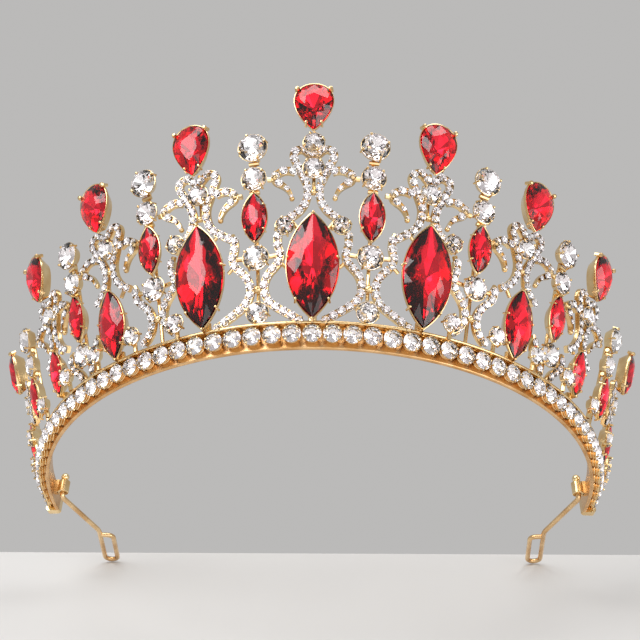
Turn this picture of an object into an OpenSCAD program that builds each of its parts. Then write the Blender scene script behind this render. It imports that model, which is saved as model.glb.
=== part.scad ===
// Crown (tiara): a sprung gold band with a row of crystals, carrying seventeen open
// scroll castings set with ruby pears and marquises, and two swivelling wire arms.
// Millimetres, +Z up. Origin: centre of the head circle, on the plane of the band's
// bottom edge. The front of the crown faces -Y.

/* [Band] */
// Radius of the circle through the centres of the band crystals
stone_circle_r = 70.8; // [66:0.2:78]
// Height of the inner strip
band_h = 5.2; // [5:0.1:7]
// Thickness of the inner strip
strip_t = 0.9; // [0.8:0.1:1.4]
// Crystals on each side of the centre one
stones_per_side = 27; // [20:1:27]
// Centre distance of neighbouring band crystals, along the circle
stone_pitch = 4.154; // [4.1:0.01:4.4]
// Diameter of one band crystal
band_stone_d = 3.7; // [3:0.1:3.7]
// Height of the band crystals' centres above the bottom edge
stone_z = 2.25; // [2.2:0.05:3]
// How far the band crystals face downwards
cup_tilt = 14; // [0:1:16]

/* [Crest] */
// Outward lean of the whole crest
flare = 19; // [12:1:24]
// Angle between neighbouring castings
unit_pitch = 9.1; // [8.8:0.1:9.6]
// Extra angle before each of the last two castings
end_spread = 3.6; // [2:0.1:4]
// Height of the centre pear's top above the band, along the crest
crest_top = 55.2; // [50:0.2:60]
// The same for the first pair of side pears
side_crest_top = 48.1; // [44:0.2:52]
// How much lower the pears stand from one casting to the next
crest_fall = 2.3; // [1.5:0.1:2.5]
// Heights of the four twin-stone spires' top crystals, front to back
spire_tops = [40.6, 38.7, 32, 26.5];
// Width of a scroll rail, seen from the front
rail_w = 1.7; // [1.4:0.1:1.9]
// Thickness of a scroll rail
rail_t = 1.3; // [1:0.1:1.5]

/* [Stones] */
// Length of a pear stone
pear_l = 11.8; // [10:0.2:12]
// Length of the centre pear
center_pear_l = 10.9; // [10:0.1:11]
// Width of a pear stone
pear_w = 8.2; // [7:0.2:8.4]
// Lengths of the large, medium and small marquises
marquise_l = [22.9, 15.8, 11];
// Widths of the large, medium and small marquises
marquise_w = [10.6, 7.4, 5.2];
// Diameters of the round crystals: top, second, large, mid, accent
round_d = [6, 5, 5.1, 4.3, 3.6];
// Wall of every setting
cup_wall = 0.45; // [0.35:0.05:0.6]

/* [Wire arms] */
// Diameter of the spring wire
wire_d = 1.3; // [1:0.1:1.5]
// Distance from the pivot to the hairpin loop
arm_l = 19; // [14:1:24]
// Length of the hairpin loop
loop_l = 17; // [12:1:20]
// Clear width inside the hairpin loop
loop_gap = 2.2; // [1.6:0.2:3.2]

/* [Hidden] */
$fn = 32;
strip_r = stone_circle_r - 2;                  // outside of the strip, back of the cups
head_r = strip_r - strip_t;                    // inside of the strip, against the hair
pitch_deg = 360 * stone_pitch / (2 * PI * stone_circle_r);
band_end = (stones_per_side + 0.5) * pitch_deg;
cup_depth = 2.7;                               // a band cup, from rim to back, cut off by
cup_rim_r = 2.05;                              // the strip
cup_back_r = 1.45;
cup_seat = 0.35;                               // its seat and its well, below the rim
cup_well = 1.6;
rail_foot_h = 0.7;                             // height of the rail above the cups
rail_foot_t = 2.6;                             // its depth, from the strip outwards
crest_r = strip_r + rail_foot_t / 2;           // the crest's foot circle
seat_clear = 0.03;                             // a stone's clearance in its setting
cap_deg = 1.6;                                 // length of a band end cap
pivot_x = head_r - 2;                          // swivel axis of a wire arm
pivot_y = -3;
lug_r = 1.5;
pin_play = 0.08;                               // radial play of the pin in its lug
lug_z = 1.9;                                   // underside of a lug
wire_z = wire_d / 2 + 0.15;                    // height of the arm's centreline
bend_r = 1.15;                                 // elbow from the pin to the arm
bead = 0.06;                                   // a weld bead's extra diameter
arm_heading = 17;                              // how far the arm points inwards at rest
pin_z = wire_z + bend_r;                       // where the pin leaves the elbow
pin_top = band_h + 0.9;
knob_r = 1.05;

second_drop = 7.4;                             // below a spire's top: its second crystal,
marquise_drop = 16.6;                          // its marquise
large_drop = 25.8;                             // and its large crystal
foot_drop = 12.2;                              // the foot crystal, below the large one
crown_gap = 6.1;                               // from the centre crest's mid stone to its accent
accent_u = 6.05;                               // side accents of a crest, from its middle
accent_drop = 2.7;                             // and below its marquise's top
accent_stand = rail_t / 2 + 1.15;              // the band's accents, out from the rails' middle
accent_v = 3.4;                                // and up from the band
accent_step = 0.45;                            // the first one keeps clear of a large marquise

BIG = 0; MEDIUM = 1; SMALL = 2;                // marquise sizes
TOP = 0; SECOND = 1; LARGE = 2; MID = 3; ACCENT = 4;  // round sizes

// ---- where things stand -------------------------------------------------------

// Angle of casting k round the head, 0 at the front, negative to the left
function unit_angle(k) = sign(k) * (unit_pitch * abs(k) + end_spread * max(0, abs(k) - 6));
// Angle half way between castings k and k+1
function gap_angle(k) = (unit_angle(k) + unit_angle(k + 1)) / 2;
// Height of the pear's top, and of the round stone under it
function pear_top(k) = k == 0 ? crest_top : side_crest_top - crest_fall * (abs(k) - 2);
function mid_v(k) = pear_top(k) - (k == 0 ? 20.2 : 16.4);
function pear_length(k) = k == 0 ? center_pear_l : pear_l;
// Size and top of the marquise of a crest
function marquise_size(k) = abs(k) <= 2 ? BIG : abs(k) == 4 ? MEDIUM : SMALL;
function marquise_top(k) = [24.2, 24.2, 17.2, 13.6, 12.6][abs(k) / 2];
// Height of the top crystal of a spire, and of its large crystal
function spire_top(k) = spire_tops[(abs(k) - 1) / 2];
function spire_large_v(k) = spire_top(k) - large_drop;

// Children stand on the crest: x along the head, y up the lean, z out of the front face
module on_crest(angle)
  rotate([0, 0, angle]) translate([0, -crest_r, band_h]) rotate([90 + flare, 0, 0]) children();

module on_unit(k) on_crest(unit_angle(k)) children();

// Keeps what stands above the band
module above_band()
  difference() {
    union() children();
    translate([0, 0, band_h - 20]) cylinder(r = stone_circle_r + 40, h = 20);
  }

// A ring segment about Z between two angles measured from the front
module band_arc(r0, r1, z0, z1, a0, a1)
  rotate([0, 0, a0 - 90]) rotate_extrude(angle = a1 - a0, $fn = 180)
    translate([r0, z0]) square([r1 - r0, z1 - z0]);

// ---- rails and bars -----------------------------------------------------------

// Sweeps a profile along +Y through [radius, angle] turns, left when the radius is
// positive, and [0, length] straights
module sweep_path(segs, i = 0) {
  if (i < len(segs)) {
    r = segs[i][0];
    a = segs[i][1];
    if (r == 0) {
      translate([0, a, 0]) rotate([90, 0, 0]) linear_extrude(a) children();
      translate([0, a, 0]) sweep_path(segs, i + 1) children();
    } else if (r > 0) {
      translate([-r, 0, 0]) rotate_extrude(angle = a) translate([r, 0]) children();
      translate([-r, 0, 0]) rotate([0, 0, a]) translate([r, 0, 0])
        sweep_path(segs, i + 1) children();
    } else {
      translate([-r, 0, 0]) rotate([0, 0, 180 - a]) rotate_extrude(angle = a)
        translate([-r, 0]) children();
      translate([-r, 0, 0]) rotate([0, 0, -a]) translate([r, 0, 0])
        sweep_path(segs, i + 1) children();
    }
  }
}

// The first child at each joint of a path, the second at its end
module path_joints(segs, i = 0) {
  if (i == len(segs)) children(1);
  else {
    r = segs[i][0];
    a = segs[i][1];
    children(0);
    if (r == 0) translate([0, a, 0]) path_joints(segs, i + 1) { children(0); children(1); }
    else translate([-r, 0, 0]) rotate([0, 0, sign(r) * a]) translate([r, 0, 0])
      path_joints(segs, i + 1) { children(0); children(1); }
  }
}

// A scroll rail, with a small round boss where two stretches meet and at its ends
module rail(x, y, heading, segs)
  translate([x, y, 0]) rotate([0, 0, heading - 90]) {
    sweep_path(segs) square([rail_w, rail_t], center = true);
    path_joints(segs) { boss(); boss(); }
  }

module boss() cylinder(r = rail_w / 2 + bead, h = rail_t + bead, center = true);

// A flat bar between two points
module bar(p, q, w = 1.2) {
  d = q - p;
  translate([p[0], p[1], 0]) rotate([0, 0, atan2(d[1], d[0])])
    translate([0, -w / 2, -rail_t / 2 + 0.1]) cube([norm(d), w, rail_t - 0.2]);
}

module both_sides() {
  children();
  mirror([1, 0, 0]) children();
}

// ---- stones and their settings --------------------------------------------------

// Depth of a stone's pavilion, from its width
function pavilion(w) = 0.22 * w + 0.35;
// Height of the seat in a setting, measured from the crest's middle plane
function seat(w) = pavilion(w) - rail_t / 2 + 0.25;

module marquise_2d(l, w) {
  r = (l * l / 4 + w * w / 4) / w;
  intersection() {
    translate([r - w / 2, 0]) circle(r = r, $fn = 96);
    translate([w / 2 - r, 0]) circle(r = r, $fn = 96);
  }
}

// Outline of a pear, point down
function pear_points(l, w, n = 30) =
  [for (i = [0:n - 1]) let (t = 360 * i / n)
    [0.62 * w * sin(t) * pow(sin(t / 2), 0.75), -l / 2 * cos(t)]];

module pear_2d(l, w) polygon(pear_points(l, w));

// The shapes of one setting: outline grown by g
module outline(kind, l, w, g) {
  if (kind == "round") circle(r = w / 2 + g);
  if (kind == "marquise") marquise_2d(l + 2 * g * l / w, w + 2 * g);
  if (kind == "pear") pear_2d(l + 2.4 * g, w + 2 * g);
}

// One step of a setting: its outer block, or the pocket that is cut for the stone
module setting(step, kind, l, w) {
  back = -rail_t / 2 - 0.15;
  if (step == "block")
    translate([0, 0, back]) linear_extrude(seat(w) + 0.5 - back)
      outline(kind, l, w, cup_wall);
  if (step == "pocket") {
    translate([0, 0, seat(w)]) linear_extrude(4) outline(kind, l, w, seat_clear);
    translate([0, 0, back + 0.35]) linear_extrude(4) outline(kind, l, w, -0.6);
  }
}

// A stone: pavilion in the well, girdle on the seat, crown above
module round_stone(d) {
  translate([0, 0, seat(d) - pavilion(d) + 0.15])
    cylinder(r1 = 0.3, r2 = d / 2 - 0.65, h = pavilion(d) - 0.15);
  translate([0, 0, seat(d)]) cylinder(r = d / 2, h = 0.4);
  translate([0, 0, seat(d) + 0.4]) cylinder(r1 = d / 2, r2 = 0.3 * d, h = 0.16 * d);
}

module long_stone(kind, l, w) {
  translate([0, 0, seat(w) - pavilion(w) + 0.15])
    linear_extrude(pavilion(w) - 0.15) outline(kind, l, w, -0.2 * w);
  translate([0, 0, seat(w)]) linear_extrude(0.9) outline(kind, l, w, 0);
  translate([0, 0, seat(w) + 0.9]) linear_extrude(0.1 * w) outline(kind, l, w, -0.12 * w);
}

module round_setting(step, size) setting(step, "round", round_d[size], round_d[size]);

// Places of the stones on the castings
module at_pear(k) on_unit(k)
  translate([0, pear_top(k) - pear_length(k) / 2 - (k == 0 ? 1 : 0.4), 0.9]) children();
module at_marquise(k, size) on_unit(k)
  translate([0, marquise_top(k) - marquise_l[size] / 2 - 0.7, 0]) children();
module at_spire(k, drop) on_unit(k) translate([0, spire_top(k) - drop, 0]) children();

// ---- the band -----------------------------------------------------------------

module inner_band()
  color([0.78, 0.6, 0.36])
    band_arc(head_r, strip_r, 0, band_h, -band_end, band_end);

module band_foot_rail()
  color([0.87, 0.72, 0.46])
    band_arc(strip_r, strip_r + rail_foot_t, band_h - rail_foot_h, band_h,
             -band_end, band_end);

// Children stand at the middle of crystal i's face, facing out and a little down
module on_band(i)
  rotate([0, 0, i * pitch_deg]) translate([0, -stone_circle_r, stone_z])
    rotate([90 + cup_tilt, 0, 0]) children();

module band_cup()
  difference() {
    translate([0, 0, -cup_depth]) cylinder(r1 = cup_back_r, r2 = cup_rim_r, h = cup_depth);
    translate([0, 0, -cup_seat]) cylinder(r = band_stone_d / 2 + seat_clear, h = 1);
    translate([0, 0, -cup_well]) cylinder(r = band_stone_d / 2 - 0.5, h = cup_depth);
  }

module band_cups()
  color([0.87, 0.72, 0.46])
    difference() {
      for (i = [-stones_per_side:stones_per_side]) on_band(i) band_cup();
      cylinder(r = strip_r, h = band_h, $fn = 180);
    }

module band_crystals()
  color([0.93, 0.9, 0.9])
    for (i = [-stones_per_side:stones_per_side]) on_band(i) translate([0, 0, -cup_seat]) {
      translate([0, 0, -1]) cylinder(r1 = 0.3, r2 = band_stone_d / 2 - 0.55, h = 1);
      cylinder(r = band_stone_d / 2, h = 0.4);
      translate([0, 0, 0.4])
        cylinder(r1 = band_stone_d / 2, r2 = 0.29 * band_stone_d, h = 0.6);
    }

module end_cap(side)
  color([0.85, 0.68, 0.4])
    band_arc(head_r, strip_r + rail_foot_t, 0, band_h,
             side > 0 ? band_end : -band_end - cap_deg, side > 0 ? band_end + cap_deg : -band_end);

// ---- the crest castings ---------------------------------------------------------

// The loop beside a pear's point, running down as the stem that bounds the marquise
module crest_stem(k) {
  s = mid_v(k);
  m = marquise_top(k);
  run = 5.8 - max(0, 8.2 - (s - m));
  rail(0.6, s + 3.2, 45,
       [[0, 1.6], [-1.6, 160], [0, run], [6.5, 80], [0, abs(k) <= 2 ? 2.9 : 1.2]]);
}

// The hooked scroll outside the stem, and the bar that ties it to the next spire
module crest_volute(k) {
  s = mid_v(k);
  rail(4, s - 0.7, 28, [[-3.4, 75], [-1.1, 100], [0, 1.4], [4.8, 45]]);
  bar([7.9, s - 2.2], [9.2, s - 2.2]);
}

// The settings of a crest, and which sides carry an accent stone
function accent_sides(k) = k == 0 ? [-1, 1] : abs(k) == 2 ? [sign(k)] : [];

module crest_settings(k, step) {
  size = marquise_size(k);
  at_pear(k) setting(step, "pear", pear_length(k), pear_w);
  at_marquise(k, size) setting(step, "marquise", marquise_l[size], marquise_w[size]);
  on_unit(k) {
    translate([0, mid_v(k), 0]) round_setting(step, MID);
    if (k == 0) translate([0, mid_v(k) + crown_gap, 0]) round_setting(step, MID);
    for (side = accent_sides(k))
      translate([side * accent_u, marquise_top(k) - accent_drop, 0]) round_setting(step, ACCENT);
  }
}

module crest(k) {
  s = mid_v(k);
  m = marquise_top(k);
  above_band() difference() {
    union() {
      on_unit(k) {
        both_sides() {
          crest_stem(k);
          crest_volute(k);
        }
        bar([-1.9, s - 5.5], [1.9, s - 5.5]);
        bar([0, -1], [0, 1.5], 2);
        bar([0, m - 1], [0, s + (k == 0 ? 9.5 : 5.5)], 1);
      }
      crest_settings(k, "block");
    }
    crest_settings(k, "pocket");
  }
}

// ---- the spires between the crests ------------------------------------------------

// The rail that loops round the large crystal, nearly meets its twin and spreads to the band
module spire_rail(g)
  rail(4.98, g + 1.37, -72,
       [[-3.2, 63], [0, 1.7], [5.2, 100], [0, g > 13 ? 6.5 : 0.5]]);

module spire_settings(k, step) {
  at_spire(k, 0) round_setting(step, TOP);
  at_spire(k, second_drop) round_setting(step, SECOND);
  at_spire(k, marquise_drop)
    setting(step, "marquise", marquise_l[SMALL], marquise_w[SMALL]);
  if (spire_large_v(k) > 3) at_spire(k, large_drop) round_setting(step, LARGE);
  if (spire_large_v(k) > 13) at_spire(k, large_drop + foot_drop) round_setting(step, MID);
}

module spire(k) {
  t = spire_top(k);
  g = spire_large_v(k);
  above_band() difference() {
    union() {
      on_unit(k) {
        if (g > 3) {
          both_sides() spire_rail(g);
          bar([-5.1, g + 0.4], [5.1, g + 0.4]);
          bar([-1.6, g - 6.9], [1.6, g - 6.9]);
        }
        bar([0, g > 13 ? g - 9 : -1], [0, t], 1);
      }
      spire_settings(k, "block");
    }
    spire_settings(k, "pocket");
  }
}

// ---- small accent stones on the band ------------------------------------------------

// The accents stand in front of the rails
module accent_place(v) translate([0, v, accent_stand]) children();

// Between the side castings, and stepping down to the band's ends
module each_accent() {
  for (side = [-1, 1]) {
    for (k = [2:7]) on_crest(side * (gap_angle(k) + (k == 2 ? accent_step : 0)))
      accent_place(k == 2 ? accent_v - accent_step : accent_v) children();
    for (i = [0:1]) on_crest(side * (86.8 + 3.9 * i)) accent_place(accent_v) children();
    on_crest(side * 88.75) accent_place(7.5) children();
  }
}

module base_accent_cups()
  color([0.87, 0.72, 0.46])
    above_band() difference() {
      each_accent() {
        round_setting("block", ACCENT);
        translate([-0.8, -5, -0.85]) cube([1.6, 3.5, 1.1]);
      }
      each_accent() round_setting("pocket", ACCENT);
    }

// ---- stones ---------------------------------------------------------------------

module ruby_pears()
  color([0.75, 0.02, 0.08])
    for (k = [-8:2:8]) at_pear(k) long_stone("pear", pear_length(k), pear_w);

module marquises(places, size)
  color([0.75, 0.02, 0.08])
    for (k = places) at_marquise(k, size)
      long_stone("marquise", marquise_l[size], marquise_w[size]);

module small_marquises() {
  marquises([-8, -6, 6, 8], SMALL);
  color([0.75, 0.02, 0.08])
    for (k = [-7:2:7]) at_spire(k, marquise_drop)
      long_stone("marquise", marquise_l[SMALL], marquise_w[SMALL]);
}

module spire_crystals(places, drop, size)
  color([0.93, 0.9, 0.9])
    for (k = places) at_spire(k, drop) round_stone(round_d[size]);

module crest_mid_crystals()
  color([0.93, 0.9, 0.9]) {
    for (k = [-8:2:8]) on_unit(k) translate([0, mid_v(k), 0]) round_stone(round_d[MID]);
    on_unit(0) translate([0, mid_v(0) + crown_gap, 0]) round_stone(round_d[MID]);
    for (k = [-1, 1]) at_spire(k, large_drop + foot_drop) round_stone(round_d[MID]);
  }

module accent_crystals()
  color([0.93, 0.9, 0.9]) {
    each_accent() round_stone(round_d[ACCENT]);
    for (k = [-2:2:2]) for (side = accent_sides(k)) on_unit(k)
      translate([side * accent_u, marquise_top(k) - accent_drop, 0])
        round_stone(round_d[ACCENT]);
  }

// ---- the swivelling wire arms -------------------------------------------------------

module at_pivot(side) translate([side * pivot_x, pivot_y, 0]) children();

// A short vertical tube soldered inside the strip, near its end
module lug(side)
  color([0.82, 0.64, 0.38])
    difference() {
      at_pivot(side) {
        translate([0, 0, lug_z]) cylinder(r = lug_r, h = band_h - lug_z);
        translate([side > 0 ? 0 : -2.2, -1, lug_z]) cube([2.2, 2, band_h - lug_z]);
      }
      at_pivot(side) cylinder(r = wire_d / 2 + pin_play, h = 20);
      difference() {
        cylinder(r = head_r + 10, h = 20, $fn = 180);
        translate([0, 0, -1]) cylinder(r = head_r, h = 30, $fn = 180);
      }
    }

// Centreline of an arm, from its elbow: the run back, then a closed hairpin loop
function arm_path() =
  let (half = (loop_gap + wire_d) / 2)
    [[0, arm_l - bend_r], [-6, 22], [0, loop_l - half], [half, 180],
     [0, loop_l - half - 3], [1.5, 90], [0, 2 * half - 1.5]];

// Pin up through the lug, elbow, run and loop, with a weld bead where two stretches meet
module wire_arm(side)
  color([0.9, 0.76, 0.5])
    at_pivot(side) mirror([side > 0 ? 0 : 1, 0, 0]) {
      translate([0, 0, pin_z]) cylinder(r = wire_d / 2, h = pin_top - pin_z);
      rotate([0, 0, arm_heading]) {
        translate([0, 0, pin_z]) sphere(d = wire_d + bead);
        translate([0, bend_r, pin_z]) rotate([90, 0, 90]) rotate([0, 0, 180])
          rotate_extrude(angle = 90) translate([bend_r, 0]) circle(d = wire_d);
        translate([0, bend_r, wire_z]) {
          sweep_path(arm_path()) circle(d = wire_d);
          path_joints(arm_path()) {
            sphere(d = wire_d + bead);
            sphere(d = wire_d + 3 * bead);
          }
        }
      }
    }

// The head that keeps the pin in its lug, pressed over the pin's end
module pivot_knob(side)
  color([0.95, 0.84, 0.6])
    difference() {
      at_pivot(side) translate([0, 0, pin_top + 0.3]) sphere(r = knob_r);
      at_pivot(side) translate([0, 0, pin_top - 3]) cylinder(r = wire_d / 2, h = 3);
    }

inner_band();
band_foot_rail();
band_cups();
band_crystals();
end_cap(-1);  // left_end_cap
end_cap(1);  // right_end_cap
color([0.87, 0.72, 0.46]) crest(0);  // center_crest
for (k = [2:2:8]) {
  color([0.87, 0.72, 0.46]) crest(-k);
  color([0.87, 0.72, 0.46]) crest(k);
}
for (k = [1:2:7]) {
  color([0.87, 0.72, 0.46]) spire(-k);
  color([0.87, 0.72, 0.46]) spire(k);
}
base_accent_cups();
ruby_pears();
marquises([-2, 0, 2], BIG);  // large_marquises
marquises([-4, 4], MEDIUM);  // medium_marquises
small_marquises();
spire_crystals([-7:2:7], 0, TOP);  // spire_top_crystals
spire_crystals([-7:2:7], second_drop, SECOND);  // spire_second_crystals
spire_crystals([-5:2:5], large_drop, LARGE);  // spire_large_crystals
crest_mid_crystals();
accent_crystals();
lug(-1);  // left_lug
lug(1);  // right_lug
wire_arm(-1);  // left_wire_arm
wire_arm(1);  // right_wire_arm
pivot_knob(-1);  // left_pivot_knob
pivot_knob(1);  // right_pivot_knob
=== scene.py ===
import math
import random

import bmesh
import bpy
from mathutils import Matrix, Vector


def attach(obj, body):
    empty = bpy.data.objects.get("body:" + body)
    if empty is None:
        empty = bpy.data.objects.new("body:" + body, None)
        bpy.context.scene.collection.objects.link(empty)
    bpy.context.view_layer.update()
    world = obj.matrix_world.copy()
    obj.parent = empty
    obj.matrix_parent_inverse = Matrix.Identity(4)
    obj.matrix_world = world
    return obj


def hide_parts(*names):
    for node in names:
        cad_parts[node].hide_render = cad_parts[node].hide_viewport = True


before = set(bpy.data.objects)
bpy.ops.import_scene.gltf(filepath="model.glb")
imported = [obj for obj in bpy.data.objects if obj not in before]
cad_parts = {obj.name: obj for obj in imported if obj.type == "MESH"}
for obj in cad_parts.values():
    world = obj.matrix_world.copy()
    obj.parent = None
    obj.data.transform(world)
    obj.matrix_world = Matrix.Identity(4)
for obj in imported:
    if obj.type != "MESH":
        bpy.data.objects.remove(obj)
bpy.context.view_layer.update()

# ---- Inner strip ----------------------------------------------------------------------------
# A springy brass ribbon bent round the head, plated a warm dark gold and lightly brushed along
# its length. Its edges are rolled round. Everything else on the band is soldered to its outside.
MM = 0.001
HEAD_R = 67.9                       # inside of the strip, against the hair
STRIP_R = 68.8                      # outside of the strip, back of the cups
BAND_H = 5.2
STONE_R = 70.8                      # circle through the middles of the band crystals
STONE_PITCH = math.degrees(4.154 / STONE_R)
STONES = 55
BAND_END = STONE_PITCH * STONES / 2
STRIP_GOLD = (0.60, 0.33, 0.13)
STRIP_GOLD_WORN = (0.78, 0.50, 0.25)
CROWN = "crown"


class Shell:
    """Points in millimetres and faces of one piece, gathered before its mesh is made."""

    def __init__(self):
        self.points, self.faces, self.kinds = [], [], []

    def add(self, points, faces, place=None, kind=0):
        first = len(self.points)
        place = place or Matrix.Identity(4)
        self.points += [place @ Vector(p) for p in points]
        self.faces += [[first + i for i in f] for f in faces]
        self.kinds += list(kind) if isinstance(kind, list) else [kind] * len(faces)


def make_piece(name, shell, finishes, crease=40):
    """The shell as an object at the origin, in metres, its faces turned outwards."""
    mesh = bpy.data.meshes.new(name)
    mesh.from_pydata([p * MM for p in shell.points], [], shell.faces)
    for finish in finishes:
        mesh.materials.append(finish)
    mesh.polygons.foreach_set("material_index", shell.kinds)
    work = bmesh.new()
    work.from_mesh(mesh)
    bmesh.ops.recalc_face_normals(work, faces=work.faces)
    work.to_mesh(mesh)
    work.free()
    if crease:
        mesh.shade_smooth()
        mesh.set_sharp_from_angle(angle=math.radians(crease))
    piece = bpy.data.objects.new(name, mesh)
    bpy.context.scene.collection.objects.link(piece)
    return piece


def tube_faces(rings, around, closed_path=False):
    """Quads joining rings of points, and a flat face at each open end."""
    faces = []
    for i in range(rings if closed_path else rings - 1):
        a, b = i * around, (i + 1) % rings * around
        faces += [[a + j, a + (j + 1) % around, b + (j + 1) % around, b + j]
                  for j in range(around)]
    if not closed_path:
        faces += [list(range(around))[::-1], [(rings - 1) * around + j for j in range(around)]]
    return faces


def band_sweep(section, first, last, step=1.5):
    """A section of (radius, height) points carried round the head between two angles."""
    count = max(2, math.ceil((last - first) / step) + 1)
    points = []
    for i in range(count):
        a = math.radians(first + (last - first) * i / (count - 1))
        points += [(r * math.sin(a), -r * math.cos(a), z) for r, z in section]
    return points, tube_faces(count, len(section))


def rounded_box(r0, r1, z0, z1, soft, steps=3):
    """Section of a bar with its four edges rounded."""
    corners = [(r1 - soft, z0 + soft, -90), (r1 - soft, z1 - soft, 0),
               (r0 + soft, z1 - soft, 90), (r0 + soft, z0 + soft, 180)]
    return [(x + soft * math.cos(math.radians(a + 90 * i / steps)),
             z + soft * math.sin(math.radians(a + 90 * i / steps)))
            for x, z, a in corners for i in range(steps + 1)]


def plated(name, colour, worn, polish, dull, grain, stretch=(1, 1, 1), dents=0.12):
    """Plated brass: tone drifting from colour to worn, uneven polish and a fine cast or drawn grain."""
    finish = bpy.data.materials.new(name)
    finish.use_nodes = True
    nodes, link = finish.node_tree.nodes, finish.node_tree.links.new
    shader = nodes["Principled BSDF"]
    shader.inputs["Metallic"].default_value = 1
    place, mapping = nodes.new("ShaderNodeTexCoord"), nodes.new("ShaderNodeMapping")
    mapping.inputs["Scale"].default_value = stretch
    link(place.outputs["Object"], mapping.inputs["Vector"])
    drift, fine = nodes.new("ShaderNodeTexNoise"), nodes.new("ShaderNodeTexNoise")
    drift.inputs["Scale"].default_value = 210
    fine.inputs["Scale"].default_value = grain
    fine.inputs["Detail"].default_value = 3
    link(place.outputs["Object"], drift.inputs["Vector"])
    link(mapping.outputs["Vector"], fine.inputs["Vector"])
    tone = nodes.new("ShaderNodeValToRGB")
    tone.color_ramp.elements[0].position, tone.color_ramp.elements[1].position = 0.36, 0.66
    tone.color_ramp.elements[0].color = (*worn, 1)
    tone.color_ramp.elements[1].color = (*colour, 1)
    link(drift.outputs["Fac"], tone.inputs["Fac"])
    link(tone.outputs["Color"], shader.inputs["Base Color"])
    rough = nodes.new("ShaderNodeMapRange")
    rough.inputs["To Min"].default_value, rough.inputs["To Max"].default_value = polish, dull
    link(fine.outputs["Fac"], rough.inputs["Value"])
    link(rough.outputs["Result"], shader.inputs["Roughness"])
    bump = nodes.new("ShaderNodeBump")
    bump.inputs["Strength"].default_value = dents
    bump.inputs["Distance"].default_value = 0.0001
    link(fine.outputs["Fac"], bump.inputs["Height"])
    link(bump.outputs["Normal"], shader.inputs["Normal"])
    return finish


brushed_strip_gold = plated("brushed strip gold", STRIP_GOLD, STRIP_GOLD_WORN, 0.2, 0.42, 900,
                            stretch=(1, 1, 9), dents=0.2)
strip_shell = Shell()
strip_shell.add(*band_sweep(rounded_box(HEAD_R, STRIP_R, 0, BAND_H, 0.3), -BAND_END, BAND_END))
inner_strip = make_piece("inner_strip", strip_shell, [brushed_strip_gold])
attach(inner_strip, CROWN)
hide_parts("inner_band")

# ---- Foot rail and end caps -----------------------------------------------------------------
# A thin half-round rail on the strip's outside, above the cups. The crest's feet are soldered
# to it. A small rounded block closes each end of the band.
RAIL_OUT_R = 71.4
RAIL_FOOT_Z = 4.5
CAP_DEG = 1.6
CAST_GOLD = (0.90, 0.69, 0.38)
CAST_GOLD_WORN = (0.74, 0.50, 0.24)

cast_gold = plated("cast champagne gold", CAST_GOLD, CAST_GOLD_WORN, 0.10, 0.30, 1500)
rail_shell = Shell()
rail_shell.add(*band_sweep(rounded_box(STRIP_R - 0.05, RAIL_OUT_R, RAIL_FOOT_Z, BAND_H, 0.32),
                           -BAND_END, BAND_END))
foot_rail = make_piece("foot_rail", rail_shell, [cast_gold])
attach(foot_rail, CROWN)
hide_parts("band_foot_rail")
for side, node in ((-1, "left_end_cap"), (1, "right_end_cap")):
    near, far = BAND_END, BAND_END + CAP_DEG
    cap_shell = Shell()
    cap_shell.add(*band_sweep(rounded_box(HEAD_R, RAIL_OUT_R, 0, BAND_H, 0.7, 4),
                              near if side > 0 else -far, far if side > 0 else -near, 0.4))
    end_cap = make_piece(f"end_cap_{'left' if side < 0 else 'right'}", cap_shell, [cast_gold])
    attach(end_cap, CROWN)
    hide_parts(node)

# ---- Band cups ------------------------------------------------------------------------------
# Fifty-five stamped cups in one row, touching, each a small ribbed thimble with four claws bent
# over its crystal. They are soldered to the strip with their backs against it.
CUP_Z = 2.25
CUP_TILT = 14                       # how far the crystals face down
CUP_RIM_R = 2.02
BAND_STONE_D = 4.0


def lathe(section, around=20):
    """A section of (radius, height) points turned about Z, closed at the first and last point."""
    points = [(r * math.cos(2 * math.pi * i / around), r * math.sin(2 * math.pi * i / around), z)
              for r, z in section for i in range(around)]
    return points, tube_faces(len(section), around)


def ball(x, y, z, r, around=8, rings=5):
    """A bead of gold or a claw's tip, closed at both poles."""
    points = [(x, y, z - r)]
    for i in range(1, rings):
        a = math.pi * i / rings
        points += [(x + r * math.sin(a) * math.cos(2 * math.pi * j / around),
                    y + r * math.sin(a) * math.sin(2 * math.pi * j / around),
                    z - r * math.cos(a)) for j in range(around)]
    points.append((x, y, z + r))
    last = len(points) - 1
    faces = [[0, 1 + (j + 1) % around, 1 + j] for j in range(around)]
    for i in range(rings - 2):
        a = 1 + i * around
        faces += [[a + j, a + (j + 1) % around, a + around + (j + 1) % around, a + around + j]
                  for j in range(around)]
    a = last - around
    faces += [[last, a + j, a + (j + 1) % around] for j in range(around)]
    return points, faces


def rod(p, q, r, around=8):
    """A round bar from p to q, with flat ends."""
    p, q = Vector(p), Vector(q)
    turn = (q - p).to_track_quat("Z", "Y").to_matrix()
    ring = [Vector((r * math.cos(2 * math.pi * i / around), r * math.sin(2 * math.pi * i / around), 0))
            for i in range(around)]
    return [end + turn @ v for end in (p, q) for v in ring], tube_faces(2, around)


def add_claw(shell, place, x, y, z0, z1, lean, r):
    """A claw standing at x, y, leaning over the stone, with a ball for its tip."""
    out = math.hypot(x, y) or 1
    tip = (x - lean * x / out, y - lean * y / out, z1)
    shell.add(*rod((x, y, z0), tip, r * 0.75, 6), place)
    shell.add(*ball(*tip, r, 8, 4), place)


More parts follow.
